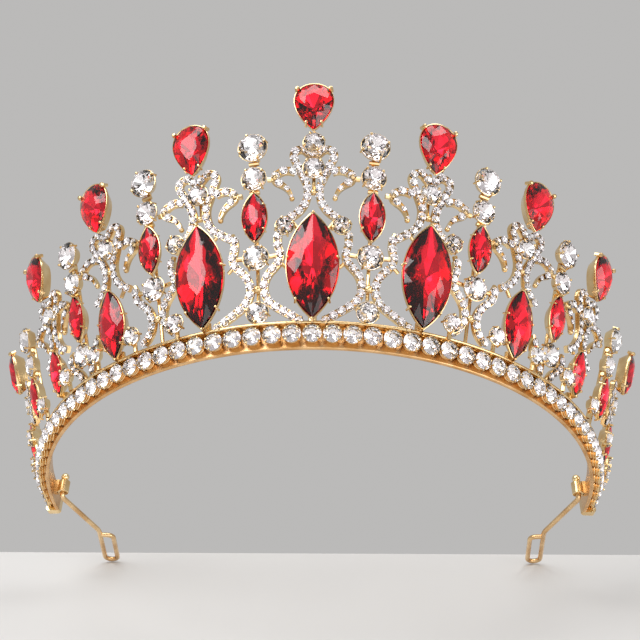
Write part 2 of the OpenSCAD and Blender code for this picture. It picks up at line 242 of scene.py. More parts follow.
def repeat_on_path(name, path_piece, shape, pitch, finish, backing=None, turn=0.0, seed=1):
    """Sets copies of a shape at an even pitch along a path piece's lines, each facing the path's
    own 'facing' direction, as one plain mesh. Faces marked 'foil' take the backing."""
    tree = bpy.data.node_groups.new(name, "GeometryNodeTree")
    new_socket = tree.interface.new_socket
    new_socket("Path", in_out="INPUT", socket_type="NodeSocketGeometry")
    sockets = {"Shape": new_socket("Shape", in_out="INPUT", socket_type="NodeSocketObject"),
               "Pitch": new_socket("Pitch", in_out="INPUT", socket_type="NodeSocketFloat"),
               "Random turn": new_socket("Random turn", in_out="INPUT", socket_type="NodeSocketFloat"),
               "Seed": new_socket("Seed", in_out="INPUT", socket_type="NodeSocketInt"),
               "Finish": new_socket("Finish", in_out="INPUT", socket_type="NodeSocketMaterial"),
               "Backing": new_socket("Backing", in_out="INPUT", socket_type="NodeSocketMaterial")}
    new_socket("Set shapes", in_out="OUTPUT", socket_type="NodeSocketGeometry")
    node, link = tree.nodes.new, tree.links.new
    given, out = node("NodeGroupInput"), node("NodeGroupOutput")
    curve, even = node("GeometryNodeMeshToCurve"), node("GeometryNodeResampleCurve")
    even.mode = "LENGTH"
    spots = node("GeometryNodeCurveToPoints")
    spots.mode = "EVALUATED"
    link(given.outputs["Path"], curve.inputs["Mesh"])
    link(curve.outputs["Curve"], even.inputs["Curve"])
    link(given.outputs["Pitch"], even.inputs["Length"])
    link(even.outputs["Curve"], spots.inputs["Curve"])
    facing = node("GeometryNodeInputNamedAttribute")
    facing.data_type = "FLOAT_VECTOR"
    facing.inputs["Name"].default_value = "facing"
    size = node("GeometryNodeInputNamedAttribute")
    size.data_type = "FLOAT"
    size.inputs["Name"].default_value = "size"
    aim = node("FunctionNodeAlignRotationToVector")
    aim.axis = "Z"
    link(facing.outputs["Attribute"], aim.inputs["Vector"])
    shape_info = node("GeometryNodeObjectInfo")
    link(given.outputs["Shape"], shape_info.inputs["Object"])
    place = node("GeometryNodeInstanceOnPoints")
    link(spots.outputs["Points"], place.inputs["Points"])
    link(shape_info.outputs["Geometry"], place.inputs["Instance"])
    link(aim.outputs["Rotation"], place.inputs["Rotation"])
    link(size.outputs["Attribute"], place.inputs["Scale"])
    spin = node("FunctionNodeRandomValue")
    spin.data_type = "FLOAT"
    link(given.outputs["Random turn"], spin.inputs[3])
    link(given.outputs["Seed"], spin.inputs["Seed"])
    about = node("ShaderNodeCombineXYZ")
    link(spin.outputs[1], about.inputs["Z"])
    turned = node("GeometryNodeRotateInstances")
    turned.inputs["Local Space"].default_value = True
    link(place.outputs["Instances"], turned.inputs["Instances"])
    link(about.outputs["Vector"], turned.inputs["Rotation"])
    real, paint = node("GeometryNodeRealizeInstances"), node("GeometryNodeSetMaterial")
    link(turned.outputs["Instances"], real.inputs["Geometry"])
    link(real.outputs["Geometry"], paint.inputs["Geometry"])
    link(given.outputs["Finish"], paint.inputs["Material"])
    foil = node("GeometryNodeInputNamedAttribute")
    foil.data_type = "BOOLEAN"
    foil.inputs["Name"].default_value = "foil"
    back = node("GeometryNodeSetMaterial")
    link(paint.outputs["Geometry"], back.inputs["Geometry"])
    link(foil.outputs["Attribute"], back.inputs["Selection"])
    link(given.outputs["Backing"], back.inputs["Material"])
    link(back.outputs["Geometry"], out.inputs["Set shapes"])
    modifier = path_piece.modifiers.new(name, "NODES")
    modifier.node_group = tree
    values = {"Shape": shape, "Pitch": pitch * MM, "Random turn": turn, "Seed": seed,
              "Finish": finish, "Backing": backing or finish}
    for key, value in values.items():
        modifier[sockets[key].identifier] = value
    seen = path_piece.evaluated_get(bpy.context.evaluated_depsgraph_get())
    mesh = bpy.data.meshes.new_from_object(seen)
    path_piece.modifiers.remove(modifier)
    piece = bpy.data.objects.new(name, mesh)
    bpy.context.scene.collection.objects.link(piece)
    bpy.data.objects.remove(path_piece)
    bpy.data.objects.remove(shape)
    return piece


def path_piece(name, lines):
    """Lines of (point, facing, size) as a mesh of edges that carries the last two."""
    mesh = bpy.data.meshes.new(name)
    points, edges, facing, size = [], [], [], []
    for line in lines:
        first = len(points)
        for p, f, s in line:
            points.append(Vector(p) * MM)
            facing += list(f)
            size.append(s)
        edges += [(first + i, first + i + 1) for i in range(len(line) - 1)]
    mesh.from_pydata(points, edges, [])
    mesh.attributes.new("facing", "FLOAT_VECTOR", "POINT").data.foreach_set("vector", facing)
    mesh.attributes.new("size", "FLOAT", "POINT").data.foreach_set("value", size)
    piece = bpy.data.objects.new(name, mesh)
    bpy.context.scene.collection.objects.link(piece)
    return piece


def band_line():
    """The circle of the band's crystals from first to last, facing out and a little down."""
    steps, tilt = STONES - 1, math.radians(CUP_TILT)
    line = []
    for i in range(steps + 1):
        a = math.radians((i - steps / 2) * STONE_PITCH)
        out = (math.sin(a), -math.cos(a))
        face = (out[0] * math.cos(tilt), out[1] * math.cos(tilt), -math.sin(tilt))
        line.append(((STONE_R * out[0], STONE_R * out[1], CUP_Z), face, 1))
    return [line]


# Pitch a hair under the chord from one cup to the next, so that the last cup keeps its place
CUP_CHORD = 2 * STONE_R * math.sin(math.radians(STONE_PITCH / 2)) * 0.99999
cup_shell = Shell()
cup_shell.add(*lathe([(0.01, -2.4), (1.1, -2.4), (1.42, -2.0), (1.58, -1.45), (1.5, -1.3),
                      (1.74, -0.8), (1.7, -0.68), (1.95, -0.3), (CUP_RIM_R, -0.12), (1.98, 0),
                      (1.86, 0.02), (1.8, -0.3), (0.7, -1.55), (0.01, -1.6)], 20))
for corner in (45, 135, 225, 315):
    a = math.radians(corner)
    add_claw(cup_shell, None, 1.95 * math.cos(a), 1.95 * math.sin(a), -0.5, 0.34, 0.22, 0.24)
cup_shape = make_piece("cup_shape", cup_shell, [cast_gold])
band_cups = repeat_on_path("band_cups", path_piece("cup_line", band_line()), cup_shape,
                           CUP_CHORD, cast_gold)
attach(band_cups, CROWN)
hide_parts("band_cups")

# ---- Band crystals --------------------------------------------------------------------------
# Clear glass chatons with a mirror foil on the back, one pressed in each cup. The cut is a flat
# table with eight star facets, eight kites and sixteen small facets at the girdle.
CLEAR = (1.0, 1.0, 1.0)
CLEAR_BLUSH = (1.0, 0.965, 0.97)
FOIL_SILVER = (0.98, 0.97, 0.98)
FOIL_SHADE = (0.97, 0.93, 0.945)


def glass(name, colour, other, index=1.6):
    """Foiled glass, its tint drifting a little through the piece."""
    finish = bpy.data.materials.new(name)
    finish.use_nodes = True
    nodes, link = finish.node_tree.nodes, finish.node_tree.links.new
    shader = nodes["Principled BSDF"]
    shader.inputs["Transmission Weight"].default_value = 1
    shader.inputs["Roughness"].default_value = 0.015
    shader.inputs["IOR"].default_value = index
    place, cloud = nodes.new("ShaderNodeTexCoord"), nodes.new("ShaderNodeTexNoise")
    cloud.inputs["Scale"].default_value = 260
    link(place.outputs["Object"], cloud.inputs["Vector"])
    tint = nodes.new("ShaderNodeValToRGB")
    tint.color_ramp.elements[0].position, tint.color_ramp.elements[1].position = 0.35, 0.65
    tint.color_ramp.elements[0].color = (*colour, 1)
    tint.color_ramp.elements[1].color = (*other, 1)
    link(cloud.outputs["Fac"], tint.inputs["Fac"])
    link(tint.outputs["Color"], shader.inputs["Base Color"])
    return finish


def circle_outline(l, w, g, t):
    """Point at share t of the way round a circle grown by g."""
    a = 2 * math.pi * t
    return (w / 2 + g) * math.cos(a), (w / 2 + g) * math.sin(a)


def cut_stone(outline, l, w, foot, seat, girdle, crown, n=8, table=0.55, star=0.78, lower=0.62):
    """Points, faces and kinds (0 glass, 1 foil) of a cut stone of 2n sides, its table up. The
    pavilion runs from foot to seat, then come the girdle's and the crown's heights."""
    def ring(count, shift, scale, z):
        return [(scale * x, scale * y, z) for x, y in
                (outline(l, w, 0, (i + shift) / count) for i in range(count))]
    top = seat + girdle + crown
    reach = star * math.cos(math.pi / n)
    star_z = top - crown * (reach - table) / (1 - table)
    points = (ring(n, 0, table, top) + ring(n, 0.5, star, star_z)
              + ring(2 * n, 0, 1, seat + girdle) + ring(2 * n, 0, 1, seat)
              + ring(n, 0.5, lower, seat - (seat - foot) * (1 - lower * math.cos(math.pi / n)))
              + ring(n, 0, 0.06, foot))
    T, S, G, B, L, C = 0, n, 2 * n, 4 * n, 6 * n, 7 * n
    faces = [[T + i for i in range(n)]]
    for i in range(n):
        j, before = (i + 1) % n, (i - 1) % n
        under, mid, ahead = 2 * i, 2 * i + 1, (2 * i + 2) % (2 * n)
        faces += [[T + i, S + i, T + j], [T + i, S + before, G + under, S + i],
                  [S + i, G + under, G + mid], [S + i, G + mid, G + ahead],
                  [G + under, B + under, B + mid, G + mid],
                  [G + mid, B + mid, B + ahead, G + ahead]]
    glass_faces = len(faces)
    for i in range(n):
        j, before = (i + 1) % n, (i - 1) % n
        under, mid, ahead = 2 * i, 2 * i + 1, (2 * i + 2) % (2 * n)
        faces += [[L + i, B + mid, B + under], [L + i, B + ahead, B + mid],
                  [C + i, L + i, B + under, L + before], [C + i, C + j, L + i]]
    faces.append([C + i for i in reversed(range(n))])
    return points, faces, [0] * glass_faces + [1] * (len(faces) - glass_faces)


def mark_foil(piece):
    """Writes which faces of a stone shape are foiled, for when it is repeated."""
    marks = piece.data.attributes.new("foil", "BOOLEAN", "FACE")
    marks.data.foreach_set("value", [p.material_index == 1 for p in piece.data.polygons])
    return piece


clear_glass = glass("clear glass", CLEAR, CLEAR_BLUSH)
silver_foil = plated("silver foil", FOIL_SILVER, FOIL_SHADE, 0.03, 0.12, 1500, dents=0.05)
band_stone = Shell()
points, faces, kinds = cut_stone(circle_outline, BAND_STONE_D, BAND_STONE_D,
                                 foot=-1.3, seat=0, girdle=0.16, crown=0.62)
band_stone.add(points, faces, None, kinds)
stone_shape = mark_foil(make_piece("stone_shape", band_stone, [clear_glass, silver_foil], crease=0))
band_crystals = repeat_on_path("band_crystals", path_piece("stone_line", band_line()),
                               stone_shape, CUP_CHORD, clear_glass, silver_foil, turn=0.8, seed=4)
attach(band_crystals, CROWN)
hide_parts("band_crystals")

# ---- Crest castings -------------------------------------------------------------------------
# Nine open scroll castings in plated brass, each poured with its channel rails, cups and claws
# in one, then soldered to the foot rail. They lean out, and stand lower towards the ends.
FLARE = 19
CREST_R = 70.1
UNIT_PITCH, END_SPREAD = 9.1, 3.6
CREST_TOP, SIDE_TOP, CREST_FALL = 55.2, 48.1, 2.3
MARQUISE_TOPS = [24.2, 24.2, 17.2, 13.6, 12.6]
RAIL_T = 1.3
CUP_RIM = 0.32                      # how far a cup's rim stands round its stone
PEAR_L, CENTER_PEAR_L, PEAR_W = 11.8, 10.9, 8.2
MARQUISE_L, MARQUISE_W = (22.9, 15.8, 11), (10.6, 7.4, 5.2)
TOP_D, SECOND_D, LARGE_D, MID_D, ACCENT_D = 6, 5, 5.1, 4.3, 3.6
CUP_BACK = -RAIL_T / 2 - 0.15
SPINE_Z = -0.6                      # middle of the round spines that run behind the cups
ROUND_SEATED = 0.05                 # rim of a round cup above its stone's girdle
ROUND_OVER = 0.4                    # how much wider a round stone is than its cup's mouth
PAVE_D = 1.92
PAVE_Z = 0.68
CROWN_GAP = 6.1
ACCENT_U, ACCENT_DROP = 6.05, 2.7


def unit_angle(k):
    """Angle of casting k round the head, 0 in front, negative to the left."""
    return math.copysign(UNIT_PITCH * abs(k) + END_SPREAD * max(0, abs(k) - 6), k) if k else 0


def on_crest(angle):
    """Where x runs along the head, y up the crest's lean and z out of its front."""
    return (Matrix.Rotation(math.radians(angle), 4, "Z") @ Matrix.Translation((0, -CREST_R, BAND_H))
            @ Matrix.Rotation(math.radians(90 + FLARE), 4, "X"))


def pear_top(k):
    """Height of casting k's pear above the band."""
    return CREST_TOP if k == 0 else SIDE_TOP - CREST_FALL * (abs(k) - 2)


def mid_height(k):
    """Height of the round crystal in the middle of casting k."""
    return pear_top(k) - (20.2 if k == 0 else 16.4)


def pear_length(k):
    """Length of casting k's pear."""
    return PEAR_L if k else CENTER_PEAR_L


def pear_place(k):
    """Middle of casting k's pear, which stands a little in front of the rails."""
    drop = pear_length(k) / 2 + (0.4 if k else 1)
    return on_crest(unit_angle(k)) @ Matrix.Translation((0, pear_top(k) - drop, 0.9))


def marquise_size(k):
    """0 large, 1 medium, 2 small."""
    return 0 if abs(k) <= 2 else 1 if abs(k) == 4 else 2


def pavilion(w):
    """Depth of a stone's back."""
    return 0.22 * w + 0.35


def seat_z(w):
    """Height of a stone's girdle above the middle of the casting."""
    return pavilion(w) - RAIL_T / 2 + 0.25


def marquise_outline(l, w, g, t):
    """Point at share t of the way round a marquise grown by g, from its top point."""
    l, w = l + 2 * g * l / w, w + 2 * g
    r = (l * l / 4 + w * w / 4) / w
    spread = math.asin(l / 2 / r)
    t %= 1
    a = spread * (1 - 4 * t) if t <= 0.5 else spread * (4 * t - 3)
    x = r * math.cos(a) - (r - w / 2)
    return (x if t <= 0.5 else -x), r * math.sin(a)


def pear_outline(l, w, g, t):
    """Point at share t of the way round a pear grown by g, from its lower point."""
    l, w, a = l + 2.4 * g, w + 2 * g, 2 * math.pi * (t % 1)
    return 0.62 * w * math.sin(a) * abs(math.sin(a / 2)) ** 0.75, -l / 2 * math.cos(a)


def trace(x, y, heading, turns, step=0.45):
    """Points along [radius, angle] turns, left when the radius is positive, and [0, length]
    runs, kept above the foot rail."""
    line, a = [(x, y)], math.radians(heading)
    for r, amount in turns:
        if r == 0:
            count = max(1, math.ceil(amount / step))
            for i in range(count):
                x, y = x + math.cos(a) * amount / count, y + math.sin(a) * amount / count
                line.append((x, y))
        else:
            sweep = math.radians(amount)
            count = max(3, math.ceil(sweep * abs(r) / step))
            cx, cy = x - r * math.sin(a), y + r * math.cos(a)
            for i in range(count):
                a += math.copysign(sweep / count, r)
                x, y = cx + r * math.sin(a), cy - r * math.cos(a)
                line.append((x, y))
    return [p for p in line if p[1] > -0.4]


# The section of a rail, 1.7 mm wide, as (sideways, outwards): a shallow channel with thin walls
CHANNEL = [(-0.85, -0.4), (-0.62, -0.65), (0.62, -0.65), (0.85, -0.4), (0.85, 0.5), (0.8, 0.62),
           (0.7, 0.62), (0.64, 0.3), (-0.64, 0.3), (-0.7, 0.62), (-0.8, 0.62), (-0.85, 0.5)]


def channel_rail(line, width_at=None):
    """The channel section carried along a line, with flat ends."""
    points = []
    for i, (x, y) in enumerate(line):
        (ax, ay), (bx, by) = line[max(0, i - 1)], line[min(len(line) - 1, i + 1)]
        length = math.hypot(bx - ax, by - ay)
        sx, sy = (by - ay) / length, -(bx - ax) / length
        wide = width_at(i / (len(line) - 1)) if width_at else 1
        points += [(x + sx * side * wide, y + sy * side * wide, up) for side, up in CHANNEL]
    return points, tube_faces(len(line), len(CHANNEL))


def mirrored(line):
    """The line on the other side of the casting."""
    return [(-x, y) for x, y in line]


def crest_stem(k):
    """The loop beside the pear's point that runs down round the marquise to the band."""
    s, m = mid_height(k), MARQUISE_TOPS[abs(k) // 2]
    run = 5.8 - max(0, 8.2 - (s - m))
    return trace(0.6, s + 3.2, 45, [(0, 1.6), (-1.6, 160), (0, run), (6.5, 80),
                                    (0, 2.9 if abs(k) <= 2 else 1.2)])


def crest_volute(k):
    """The hooked scroll outside the stem, tapering to its tip."""
    return trace(4, mid_height(k) - 0.7, 28, [(-3.4, 75), (-1.1, 100), (0, 1.4), (4.8, 45)])


def taper(share):
    """Width of a volute along its length."""
    return 1 if share < 0.55 else 1 - 0.62 * (share - 0.55) / 0.45


def add_setting(shell, place, outline, l, w, around, claws, seated=0.5):
    """A cup with a thin rim for one stone, and its claws at (share of the outline, size)."""
    seat, narrow = seat_z(w), -0.13 * w
    steps = [(narrow - 0.55, CUP_BACK), (narrow - 0.15, CUP_BACK), (narrow, CUP_BACK + 0.25),
             (-0.02 * w, seat - 0.75), (CUP_RIM - 0.05, seat - 0.25), (CUP_RIM, seat + 0.05),
             (CUP_RIM - 0.03, seat + seated), (CUP_RIM - 0.14, seat + seated + 0.04),
             (0.03, seat + seated - 0.12), (0, seat - 0.1), (narrow - 0.3, CUP_BACK + 0.36),
             (narrow - 0.6, CUP_BACK + 0.34)]
    points = []
    for g, z in steps:
        points += [(*outline(l, w, g, i / around), z) for i in range(around)]
    shell.add(points, tube_faces(len(steps), around), place)
    for share, r in claws:
        x, y = outline(l, w, CUP_RIM + r - 0.28, share)
        add_claw(shell, place, x, y, seat - 0.7, seat + 0.75, 0.38, r)


def round_claws(first):
    """Four claws evenly round a cup."""
    return [(first + i / 4, 0.33) for i in range(4)]


PEAR_CLAWS = [(0.378, 0.62), (0.622, 0.62), (0.12, 0.36), (0.88, 0.36)]
MARQUISE_CLAWS = [(0.002, 0.3), (0.5, 0.34), (0.22, 0.3), (0.4, 0.36), (0.6, 0.36), (0.78, 0.3)]
pave_lines = []


def face_out(place, line, size_at=None):
    """A rail's line as the path that its small crystals follow."""
    out = (place.to_3x3() @ Vector((0, 0, 1))).normalized()
    count = len(line) - 1
    return [(place @ Vector((x, y, PAVE_Z)), out, size_at(i / count) if size_at else 1)
            for i, (x, y) in enumerate(line)]


def crest_casting(k):
    """One crest: stems, volutes, bars and settings."""
    shell, place = Shell(), on_crest(unit_angle(k))
    s, m, size = mid_height(k), MARQUISE_TOPS[abs(k) // 2], marquise_size(k)
    stem, volute = crest_stem(k), crest_volute(k)
    for line, width in ((stem, None), (mirrored(stem), None), (volute, taper),
                        (mirrored(volute), taper)):
        shell.add(*channel_rail(line, width), place)
        pave_lines.append(face_out(place, line[1:-1], width))
    for side in (-1, 1):            # from each volute to the spire beside it, and its gold tip
        shell.add(*rod((side * 8.2, s - 2.3, 0), (side * 10, s - 2.4, 0), 0.6), place)
        shell.add(*ball(side * volute[-1][0], volute[-1][1], 0, 0.62), place)
        shell.add(*ball(side * 8.35, s - 2.1, 0.3, 0.75), place)
    # where the stems nearly meet, the spine up to the pear, and the foot
    shell.add(*ball(0, s - 5.5, 0.3, 0.75, 10, 6), place)
    shell.add(*rod((-2.1, s - 5.5, 0), (2.1, s - 5.5, 0), 0.5), place)
    shell.add(*rod((0, s - 5.5, SPINE_Z), (0, s + (9.5 if k == 0 else 5.5), SPINE_Z), 0.42), place)
    for side in (-1, 1):            # from the marquise's cup to the nearest place on each stem
        x, y = marquise_outline(MARQUISE_L[size], MARQUISE_W[size], CUP_RIM / 2, 0.08)
        y += m - MARQUISE_L[size] / 2 - 0.7
        near = min(stem, key=lambda p: math.hypot(p[0] - x, p[1] - y))
        shell.add(*rod((side * x, y, -0.1), (side * near[0], near[1], -0.1), 0.45), place)
    shell.add(*rod((0, -0.4, -0.1), (0, 2.2, -0.1), 0.9), place)
    if size == 0:                   # from a large marquise's sides to the spires' rails
        for side in (-1, 1):
            shell.add(*rod((side * 5.5, m - 11.9, -0.1), (side * 7.1, m - 10.5, -0.1), 0.42),
                      place)
    add_setting(shell, pear_place(k), pear_outline, pear_length(k), PEAR_W, 36, PEAR_CLAWS, 0.4)
    add_setting(shell, place @ Matrix.Translation((0, m - MARQUISE_L[size] / 2 - 0.7, 0)),
                marquise_outline, MARQUISE_L[size], MARQUISE_W[size], 40, MARQUISE_CLAWS, 0.35)
    add_setting(shell, place @ Matrix.Translation((0, s, 0)), circle_outline, MID_D, MID_D, 24,
                round_claws(0.125), ROUND_SEATED)
    if k == 0:
        add_setting(shell, place @ Matrix.Translation((0, s + CROWN_GAP, 0)), circle_outline,
                    MID_D, MID_D, 24, round_claws(0.06), ROUND_SEATED)
    for side in accent_sides(k):
        add_setting(shell, place @ Matrix.Translation((side * ACCENT_U, m - ACCENT_DROP, 0)),
                    circle_outline, ACCENT_D, ACCENT_D, 24, round_claws(0.05), ROUND_SEATED)
    return shell


def accent_sides(k):
    """Sides of crest k that carry a round crystal beside the marquise's top."""
    return (-1, 1) if k == 0 else (int(math.copysign(1, k)),) if abs(k) == 2 else ()


def side_name(k):
    """left or right of the front."""
    return "left" if k < 0 else "right"


for k in range(-8, 9, 2):
    name = "center_crest" if k == 0 else f"{side_name(k)}_crest_{abs(k)}"
    casting = make_piece(name, crest_casting(k), [cast_gold])
    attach(casting, CROWN)
    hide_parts(name)

# ---- Spire castings -------------------------------------------------------------------------
# Eight slimmer castings between the crests: two round crystals at the top, a small marquise, and
# a ribbon rail that loops round a larger crystal, nearly closes, and opens again to the band.
SPIRE_TOPS = [40.6, 38.7, 32, 26.5]
SECOND_DROP, SMALL_MARQUISE_DROP, LARGE_DROP, FOOT_DROP = 7.4, 16.6, 25.8, 12.2


def spire_top(k):
    """Height of spire k's top crystal."""
    return SPIRE_TOPS[(abs(k) - 1) // 2]


def spire_rail(g, joined):
    """The rail round the large crystal at height g, down to the band. A joined one starts higher,
    at the round crystal beside the neighbouring crest's marquise."""
    below = [(-3.2, 63), (0, 1.7), (5.2, 100), (0, 6.5 if g > 13 else 0.5)]
    if joined:
        return trace(4.79, g + 5, -102, [(7, 30)] + below)
    return trace(4.98, g + 1.37, -72, below)


def spire_rounds(k):
    """(height, diameter) of each round crystal of spire k."""
    t = spire_top(k)
    rounds = [(t, TOP_D), (t - SECOND_DROP, SECOND_D)]
    if t - LARGE_DROP > 3:
        rounds.append((t - LARGE_DROP, LARGE_D))
    if t - LARGE_DROP > 13:
        rounds.append((t - LARGE_DROP - FOOT_DROP, MID_D))
    return rounds


def spire_casting(k):
    """One spire: ribbon rails, bars and settings."""
    shell, place = Shell(), on_crest(unit_angle(k))
    t, g = spire_top(k), spire_top(k) - LARGE_DROP
    if g > 3:
        for side in (-1, 1):
            joined = abs(k) == 1 or side * k < 0 and abs(k) == 3
            line = spire_rail(g, joined)
            line = line if side > 0 else mirrored(line)
            shell.add(*channel_rail(line), place)
            pave_lines.append(face_out(place, line[1:-1]))
            start = line[0]
            shell.add(*rod((*start, -0.1), (start[0] + side * 0.5, start[1] + 1.2, -0.1), 0.6), place)
            shell.add(*rod((side * 5.1, g + 0.5, 0), (side * 2.2, g + 0.3, 0), 0.5), place)
        shell.add(*rod((-1.8, g - 6.9, 0), (1.8, g - 6.9, 0), 0.6), place)
        shell.add(*ball(0, g - 6.9, 0.35, 0.95, 10, 6), place)
    shell.add(*rod((0, g - 9 if g > 13 else -0.4, SPINE_Z), (0, t, SPINE_Z), 0.42), place)
    for lift in (-SECOND_DROP / 2 + 0.2, -SECOND_DROP - 3.0):
        shell.add(*rod((-1.1, t + lift, 0.3), (1.1, t + lift, 0.3), 0.5), place)
    for turn, (v, d) in enumerate(spire_rounds(k)):
        add_setting(shell, place @ Matrix.Translation((0, v, 0)), circle_outline, d, d, 28,
                    round_claws(0.06 + 0.05 * turn), ROUND_SEATED)
    add_setting(shell, place @ Matrix.Translation((0, t - SMALL_MARQUISE_DROP, 0)),
                marquise_outline, MARQUISE_L[2], MARQUISE_W[2], 32,
                [(0.002, 0.26), (0.5, 0.28), (0.14, 0.26), (0.86, 0.26), (0.37, 0.26), (0.63, 0.26)],
                0.35)
    return shell


for k in range(-7, 8, 2):
    name = f"{side_name(k)}_spire_{abs(k)}"
    casting = make_piece(name, spire_casting(k), [cast_gold])
    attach(casting, CROWN)
    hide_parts(name)

# ---- Small crystals in the rails ------------------------------------------------------------
# A single row of tiny clear foiled crystals is glued in each channel rail, edge to edge, growing
# smaller to the tips of the volutes.
PAVE_PITCH = 1.86


def small_cut(d, foot, girdle, top):
    """A small stone of eight sides: table, eight facets, girdle and a plain back."""
    n, points = 8, []
    for scale, z in ((0.6, top), (1, girdle), (1, girdle - 0.12), (0.1, foot)):
        points += [(scale * d / 2 * math.cos(2 * math.pi * i / n),
                    scale * d / 2 * math.sin(2 * math.pi * i / n), z) for i in range(n)]
    faces = [list(range(n))]
    for ring in range(3):
        a, b = ring * n, (ring + 1) * n
        faces += [[a + i, b + i, b + (i + 1) % n, a + (i + 1) % n] for i in range(n)]
    faces.append([3 * n + i for i in reversed(range(n))])
    return points, faces, [0] * (2 * n + 1) + [1] * (n + 1)


points, faces, kinds = small_cut(PAVE_D, foot=-0.3, girdle=0.15, top=0.42)
chip = Shell()
chip.add(points, faces, None, kinds)
chip_shape = mark_foil(make_piece("chip_shape", chip, [clear_glass, silver_foil], crease=0))
rail_crystals = repeat_on_path("rail_crystals", path_piece("rail_lines", pave_lines), chip_shape,
                               PAVE_PITCH, clear_glass, silver_foil, turn=0.7, seed=9)
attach(rail_crystals, CROWN)

# ---- Accent cups ----------------------------------------------------------------------------
# Separate small cups soldered in front of the rails at the castings' feet, with a short stalk to
# the foot rail. The last ones step down to the ends of the band.
ACCENT_STAND = RAIL_T / 2 + 1.15
END_ACCENTS = [(86.8, 3.4), (90.7, 3.4), (88.75, 7.5)]


def accent_places():
    """Where each accent cup of the band stands."""
    spots = [((unit_angle(k) + unit_angle(k + 1)) / 2, 3.4) for k in range(3, 8)]
    spots += [((unit_angle(2) + unit_angle(3)) / 2 + 0.45, 2.95)] + END_ACCENTS
    return [on_crest(side * angle) @ Matrix.Translation((0, v, ACCENT_STAND))
            for side in (-1, 1) for angle, v in spots]


accent_shell = Shell()
for turn, place in enumerate(accent_places()):
    add_setting(accent_shell, place, circle_outline, ACCENT_D, ACCENT_D, 24,
                round_claws(0.03 * (turn % 7)), ROUND_SEATED)
    accent_shell.add(*rod((0, -3.4, -0.2), (0, -1.2, -0.2), 0.5), place)
accent_cups = make_piece("accent_cups", accent_shell, [cast_gold])
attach(accent_cups, CROWN)
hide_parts("base_accent_cups")

# ---- Ruby stones ----------------------------------------------------------------------------
# Pressed red glass with a red foiled back: nine pears, five big marquises and twelve small ones,
# each cut with large facets that run to its points.
RUBY = (0.90, 0.045, 0.105)
RUBY_DEEP = (0.83, 0.018, 0.06)
FOIL_RED = (1.0, 0.34, 0.40)
FOIL_RED_DEEP = (0.95, 0.20, 0.27)

ruby_glass = glass("ruby glass", RUBY, RUBY_DEEP, 1.56)
red_foil = plated("red foil", FOIL_RED, FOIL_RED_DEEP, 0.04, 0.14, 1100, dents=0.08)


def long_stone(shell, place, outline, l, w, n, table, star):
    """One pear or marquise in its cup."""
    seat = seat_z(w)
    points, faces, kinds = cut_stone(outline, l, w, seat - pavilion(w) + 0.25, seat, 0.55,
                                     0.1 * w + 0.3, n, table, star, 0.55)
    shell.add(points, faces, place, kinds)


def marquise_place(k, size):
    """Middle of crest k's marquise."""
    return on_crest(unit_angle(k)) @ Matrix.Translation(
        (0, MARQUISE_TOPS[abs(k) // 2] - MARQUISE_L[size] / 2 - 0.7, 0))


pears, large, medium, small = Shell(), Shell(), Shell(), Shell()
for k in range(-8, 9, 2):
    long_stone(pears, pear_place(k), pear_outline, pear_length(k), PEAR_W,
               n=8, table=0.5, star=0.76)
    size = marquise_size(k)
    long_stone((large, medium, small)[size], marquise_place(k, size), marquise_outline,
               MARQUISE_L[size], MARQUISE_W[size], n=8, table=0.42, star=0.72)
for k in range(-7, 8, 2):
    long_stone(small, on_crest(unit_angle(k))
               @ Matrix.Translation((0, spire_top(k) - SMALL_MARQUISE_DROP, 0)),
               marquise_outline, MARQUISE_L[2], MARQUISE_W[2], n=6, table=0.42, star=0.72)
for name, shell, node in (("ruby_pears", pears, "ruby_pears"),
                          ("large_marquises", large, "large_marquises"),
                          ("medium_marquises", medium, "medium_marquises"),
                          ("small_marquises", small, "small_marquises")):
    stones = make_piece(name, shell, [ruby_glass, red_foil], crease=0)
    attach(stones, CROWN)
    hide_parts(node)

# ---- Round crystals of the castings ---------------------------------------------------------
# Clear foiled chatons, the same cut as the band's, in four sizes, each turned a little
# differently in its cup as it was set.
set_order = random.Random(12)


def chaton(shell, place, d):
    """One round crystal in its cup."""
    seat = seat_z(d)
    points, faces, kinds = cut_stone(circle_outline, d + ROUND_OVER, d + ROUND_OVER,
                                     seat - pavilion(d) + 0.25, seat, 0.35, 0.16 * d)
    shell.add(points, faces, place @ Matrix.Rotation(set_order.uniform(0, 0.8), 4, "Z"), kinds)


tops, seconds, bigs, mids, accents = (Shell() for _ in range(5))
by_size = {TOP_D: tops, SECOND_D: seconds, LARGE_D: bigs, MID_D: mids}
for k in range(-7, 8, 2):
    for v, d in spire_rounds(k):
        chaton(by_size[d], on_crest(unit_angle(k)) @ Matrix.Translation((0, v, 0)), d)
for k in range(-8, 9, 2):
    place = on_crest(unit_angle(k))
    chaton(mids, place @ Matrix.Translation((0, mid_height(k), 0)), MID_D)
    for side in accent_sides(k):
        chaton(accents, place @ Matrix.Translation(
            (side * ACCENT_U, MARQUISE_TOPS[abs(k) // 2] - ACCENT_DROP, 0)), ACCENT_D)
chaton(mids, on_crest(0) @ Matrix.Translation((0, mid_height(0) + CROWN_GAP, 0)), MID_D)
for place in accent_places():
    chaton(accents, place, ACCENT_D)
for name, shell, node in (("spire_top_crystals", tops, "spire_top_crystals"),
                          ("spire_second_crystals", seconds, "spire_second_crystals"),
                          ("spire_large_crystals", bigs, "spire_large_crystals"),
                          ("crest_middle_crystals", mids, "crest_mid_crystals"),
                          ("accent_crystals", accents, "accent_crystals")):
    stones = make_piece(name, shell, [clear_glass, silver_foil], crease=0)
    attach(stones, CROWN)
    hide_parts(node)

